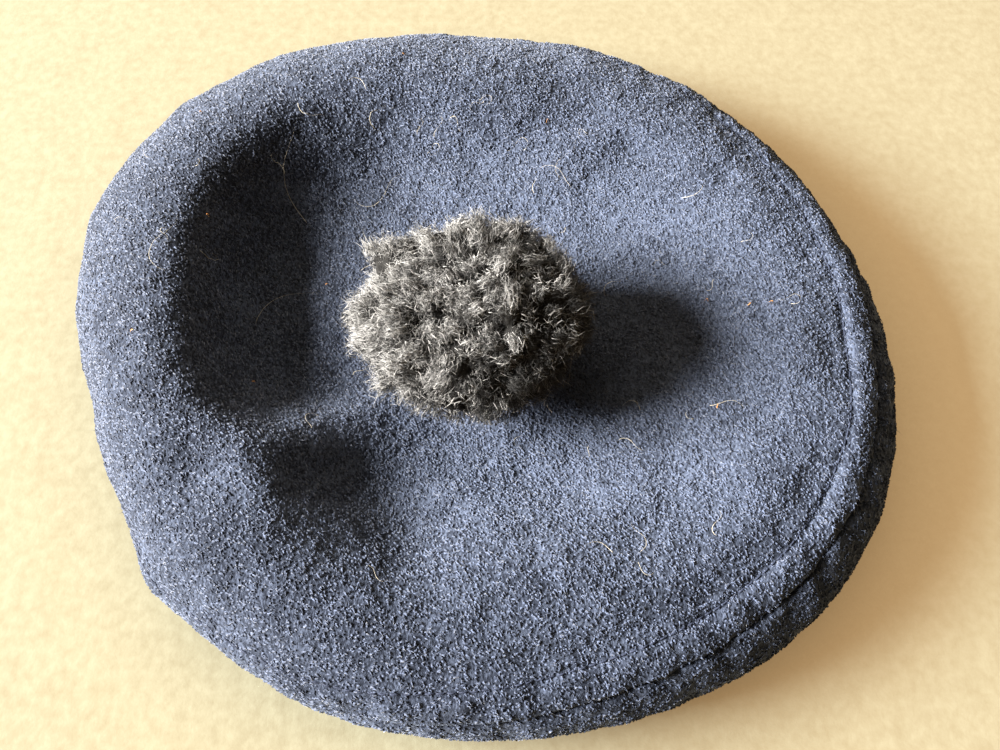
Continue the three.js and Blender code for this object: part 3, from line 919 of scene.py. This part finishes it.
def cord_along(name, course, radius, material):
    """A cut length of the same cord, with both ends closed."""
    along = unit(np.gradient(course, axis=0))
    return closed_ball(name, cord_rows(course, along, [0.3, 0.95, 0.1], radius), material)


def wound_course(low, high, radius):
    """The winding of the tie round the yarn's middle: turns that lie a cord's width apart."""
    windings = (high[2] - low[2]) / (2 * radius) - 1
    share = np.linspace(0, 1, round(windings * 24))
    inset = 1.2 * radius
    reach = (high[0] - low[0]) / 2 - inset
    turn = share * windings * TURN
    middle = (low + high) / 2
    return np.stack([middle[0] + reach * np.cos(turn), middle[1] + reach * np.sin(turn),
                     low[2] + inset + (high[2] - low[2] - 2 * inset) * share], -1)


# ---- The assembly ----

def place_piece(piece, body, slot, *nodes):
    """The piece moves with the body and stands for the CAD's nodes, which are hidden. The slot is not used.
    """
    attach(piece, body)
    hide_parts(*nodes)
    return piece


def navy_wool():
    # The wool's colour darkens towards the rim as painted shade.
    return grained("navy_wool_cloth", (0.014, 0.018, 0.031), (0.110, 0.135, 0.200), 0.95,
                   (1500, 750, 1200), math.radians(45), relief=0.7, depth=0.6, sheen=0.25,
                   rim_falloff=0.11, contrast=0.15)


def navy_thread():
    return grained("navy_thread", (0.010, 0.014, 0.026), (0.05, 0.06, 0.10), 0.7,
                   (2500, 2500, 900), relief=0.5, depth=0.1)


def lining_satin():
    return grained("lining_satin", (0.010, 0.012, 0.020), (0.035, 0.040, 0.060), 0.32,
                   (3000, 300, 3000), relief=0.35, depth=0.15, sheen=0.2)


def grosgrain_ribbon():
    return grained("grosgrain_ribbon", (0.006, 0.007, 0.011), (0.030, 0.033, 0.045), 0.55,
                   (700, 700, 2600), relief=0.4, depth=0.15)


def grey_felt():
    return grained("felt", (0.012, 0.016, 0.026), (0.06, 0.07, 0.11), 0.95,
                   (800, 800, 800), relief=0.7, depth=0.3, sheen=0.3)


def wool_cord():
    return grained("tie_cord", (0.015, 0.015, 0.016), (0.10, 0.095, 0.09), 0.85,
                   (1800, 1800, 1800), relief=0.5, depth=0.15)


def yarn_core():
    # Near black: the yarn's black, darkened further as painted shade for the gaps between the tufts.
    return grained("pompom_yarn_core", (0.006, 0.006, 0.006), (0.035, 0.033, 0.031), 0.95,
                   (700, 700, 700), relief=0.9, depth=0.8)


def add_cloth():
    """Both panels of wool cloth. It gives their outer faces' rows of points."""
    wool = navy_wool()
    crown, crown_top = crown_cloth(wool)
    place_piece(crown, "cap", "navy_cloth", "crown_panel")
    underside, underside_top = underside_cloth(wool)
    place_piece(underside, "cap", "navy_cloth", "underside_panel")
    return crown_top, underside_top


def add_nap(crown_top, underside_top):
    """The nap in three tints: (name, colour, sheen, share, thickness at the rim, share underneath). Thinner
    pale nap and thicker dark nap at the rim paint shade there.
    """
    for tone, colour, sheen, share, at_rim, side_share in (
            ("light", (0.087, 0.111, 0.178), 0.3, 0.30, 0.12, 0.14),
            ("middle", (0.062, 0.079, 0.129), 0.3, 0.42, 0.8, 0.40),
            ("dark", (0.021, 0.028, 0.049), 0.1, 0.28, 3.4, 0.46)):
        tint = fibre(f"navy_wool_{tone}_hair", colour, sheen)
        crown_nap = nap(f"crown_nap_{tone}", crown_top, int(NAP_COUNT * share), NAP_LENGTH, NAP_WIDTH,
                        tint, painted_rim_shade_weight(crown_top, at_rim))
        place_piece(crown_nap, "cap", "navy_cloth", "crown_panel")
        side_nap = nap(f"underside_nap_{tone}", underside_top[SIDE_NAP_ROWS],
                       int(SIDE_NAP_COUNT * side_share), NAP_LENGTH, NAP_WIDTH, tint)
        place_piece(side_nap, "cap", "navy_cloth", "underside_panel")


def add_fuzz(crown_top, underside_top):
    """Single hairs that stand off the cloth, round the rim and on the underside."""
    tint = fibre("navy_wool_fuzz", (0.10, 0.13, 0.20), 0.25)
    fuzz = stray_hairs("crown_fuzz", crown_top[CROWN_FUZZ_ROWS], 9000, 1.9, 0.16, tint)
    place_piece(fuzz, "cap", "navy_cloth", "crown_panel")
    side_fuzz = stray_hairs("underside_fuzz", underside_top[SIDE_FUZZ_ROWS], 6000, 1.9, 0.16, tint)
    place_piece(side_fuzz, "cap", "navy_cloth", "underside_panel")


def add_stitches(thread):
    """The topstitching, the rim's hidden seam and the lining's seam: (name, node, inset, depth, length)."""
    for name, replaced, inset, depth, length in (
            ("rim_topstitches", "rim_topstitch_thread", TOPSTITCH_INSET, None, TOPSTITCH_LENGTH),
            ("rim_seam_stitches", "rim_seam_thread", 1.0, SEAM_STITCH_DEPTH, STITCH_LENGTH),
            ("lining_seam_stitches", "lining_seam_thread", 0, LINING_STITCH_DEPTH, STITCH_LENGTH)):
        place_piece(rim_stitches(name, inset, depth, length, thread), "cap", "navy_thread", replaced)


def add_linings():
    """The lining's disc and its ring, which meet at the rim's seam."""
    satin = lining_satin()
    direction = around(LINING_COLUMNS)
    seam = seam_place(direction)
    crown_satin = lining_ring("crown_satin", direction, 0.03, seam,
                              LINING_MIDDLE_DEPTH, LINING_SEAM_DEPTH, 0.4, satin)
    place_piece(crown_satin, "cap", "lining_satin", "crown_lining")
    underside_satin = lining_ring("underside_satin", direction, place_along(direction, seam, 0.4), 2.99,
                                  LINING_SEAM_DEPTH, LINING_OPENING_DEPTH, 0.5, satin)
    place_piece(underside_satin, "cap", "lining_satin", "underside_lining")


def add_opening_stitches(part, thread):
    """The stitches that hold one of the ribbons round the head opening."""
    replaced = f"{part}_stitch_thread"
    row = opening_stitches(f"{part}_stitches", replaced, STITCH_LENGTH, thread)
    place_piece(row, "cap", "navy_thread", replaced)


def add_opening_trim(thread):
    """The tape that binds the head opening and the sweatband beside it, each with its stitches."""
    ribbon = grosgrain_ribbon()
    binding = ribbed_ring("binding_ribbon", BINDING_SECTION, RIB_SPACING, RIB_DEPTH, ribbon)
    place_piece(binding, "cap", "ribbon", "opening_binding")
    add_opening_stitches("binding", thread)
    band = turned_sweatband("sweatband_ribbon", RIB_SPACING, RIB_DEPTH, ribbon)
    place_piece(band, "cap", "ribbon", "sweatband")
    add_opening_stitches("sweatband", thread)


def add_stay():
    """The felt disc that spreads the cord's pull under the crown."""
    disc = felt_disc("felt_stay", "stay_disc", grey_felt())
    place_piece(disc, "cap", "felt", "stay_disc")


def add_cord_end(cord):
    """The cord's end, which goes down through the crown to a knot."""
    low, high = box_of("anchor_cord")
    knot_middle = np.array([*((low + high) / 2)[:2], low[2] + 1.6])
    upward = np.array([0, 0, high[2] - knot_middle[2]])
    course = knot_middle + np.linspace(0, 1, 40)[:, None] * upward
    place_piece(cord_along("cord_end", course, CORD_END_RADIUS, cord), "cap", "tie_cord", "anchor_cord")
    anchor_knot = cord_ring("cord_end_knot", knot_course(knot_middle, 2.0), CORD_RADIUS, cord)
    place_piece(anchor_knot, "cap", "tie_cord", "anchor_cord")


def add_winding(cord):
    """The tie wound round the yarn's middle."""
    course = wound_course(*box_of("pompom_tie"), WINDING_RADIUS)
    tie = cord_along("pompom_winding", course, WINDING_RADIUS, cord)
    place_piece(tie, "pompom", "tie_cord", "pompom_tie")


def add_pompom():
    """The yarn: a dark woolly core with crimped fibres of three tints. The core's near-black is partly
    painted shade between the tufts; pale fibres gather towards the lamps as a painted highlight, and dark
    ones away from them as painted shade.
    """
    tufts = pompom_tufts()
    tall = random.uniform(0.1, 1.0, POMPOM_TUFTS)
    rows = pompom_surface(pompom_rays(150, 300), tufts, tall)
    place_piece(closed_ball("pompom_core", rows, yarn_core()), "pompom", "pompom_yarn", "pompom_yarn")
    bases = pompom_surface(tufts, tufts, tall)
    # Painted light and shade: pale fibres thicken on tufts facing the lamps, dark fibres on tufts facing
    # away.
    towards_painted_light = tufts @ ray(POMPOM_PAINTED_LIGHT_HEADING, 30) + 0.35 * random.normal(size=POMPOM_TUFTS)
    painted_light_share = np.clip(0.4 + 0.8 * towards_painted_light, 0.03, 1)
    for tone, share, reach, weight, colour in (
            ("light", 0.32, 5.0, painted_light_share, (0.43, 0.422, 0.412)),
            ("middle", 0.34, 4.6, 0.3 + painted_light_share, (0.10, 0.098, 0.095)),
            ("dark", 0.34, 4.2, 1.4 - painted_light_share, (0.016, 0.0155, 0.015))):
        tint = fibre(f"pompom_yarn_{tone}_hair", colour, 0.08)
        hair = tuft_hair(f"pompom_hair_{tone}", bases, tufts, tall, weight,
                         int(POMPOM_FIBRES * share), reach, POMPOM_FIBRE_WIDTH, tint)
        place_piece(hair, "pompom", "pompom_yarn", "pompom_yarn")
    tint = fibre("pompom_yarn_stray_hair", (0.30, 0.28, 0.26), 0.3)
    stray = stray_hairs("pompom_stray_hair", rows, 420, 9, 0.17, tint)
    place_piece(stray, "pompom", "pompom_yarn", "pompom_yarn")


def add_lint(crown_top):
    """What has settled on the crown: (name, count, length, width, tint)."""
    pale = fibre("pale_lint", (0.62, 0.56, 0.44), 0.1)
    orange = fibre("orange_lint", (0.72, 0.36, 0.13), 0.0)
    for name, count, length, width, tint in (
            ("loose_lint", 46, 9, 0.2, pale),
            ("long_pale_hair", 7, 25, 0.17, pale),
            ("orange_lint", 12, 1.5, 0.55, orange)):
        loose = lint(name, crown_top[CROWN_LINT_ROWS], count, length, width, tint)
        place_piece(loose, "cap", "navy_cloth", "crown_panel")


def add_neck(cord):
    """The knot that the pompom tilts on."""
    low, high = box_of("neck_knot")
    course = knot_course((low + high) / 2, (high[0] - low[0]) * 0.27)
    place_piece(cord_ring("neck_cord_knot", course, CORD_RADIUS, cord), "neck", "tie_cord", "neck_knot")


def make_floor():
    """A pale plastered floor which curves up far away, all round, into its own backdrop. It glows warm as
    painted fill light, and an ambient-occlusion node dims the glow near the cap as painted contact shade.
    """
    plaster = grained("pale_floor", (0.12, 0.135, 0.10), (0.17, 0.19, 0.145), 0.9,
                      (260, 260, 260), relief=0.3, depth=0.5)
    shader = plaster.node_tree.nodes["Principled BSDF"]
    # Painted light: the floor glows warm to fill its shadows, and less near the cap, as painted contact
    # shade.
    shader.inputs["Emission Color"].default_value = (1.0, 0.62, 0.28, 1)
    open_sky = node(plaster.node_tree, "ShaderNodeAmbientOcclusion", Distance=0.035, samples=3)
    glow = node(plaster.node_tree, "ShaderNodeMath", operation="MULTIPLY")
    glow.inputs[1].default_value = FLOOR_GLOW
    plaster.node_tree.links.new(open_sky.outputs["AO"], glow.inputs[0])
    plaster.node_tree.links.new(glow.outputs[0], shader.inputs["Emission Strength"])
    turn = around(FLOOR_COLUMNS)
    angle = np.linspace(0, math.pi / 2, 12)[:, None]
    radius = np.concatenate([[[1.0]], FLOOR_RADIUS + FLOOR_BEND * np.sin(angle)])
    height = np.concatenate([[[0.0]], FLOOR_BEND * (1 - np.cos(angle))])
    rows = np.stack([radius * np.cos(turn), radius * np.sin(turn), height + 0 * turn], -1)
    points = np.concatenate([rows.reshape(-1, 3), [[0, 0, 0]]])
    first = np.arange(FLOOR_COLUMNS)
    middle = np.stack([first, np.roll(first, -1), np.full(FLOOR_COLUMNS, len(points) - 1)], -1)
    floor = mesh_object("floor", points, [grid_faces(*rows.shape[:2])[:, ::-1], middle], plaster)


make_camera()
make_studio()
crown_rows, underside_rows = add_cloth()
add_nap(crown_rows, underside_rows)
add_fuzz(crown_rows, underside_rows)
sewing_thread = navy_thread()
add_stitches(sewing_thread)
add_linings()
add_opening_trim(sewing_thread)
add_stay()
tie_cord = wool_cord()
add_cord_end(tie_cord)
add_winding(tie_cord)
add_pompom()
add_lint(crown_rows)
add_neck(tie_cord)
make_floor()

bpy.context.scene.view_settings.view_transform = "Standard"
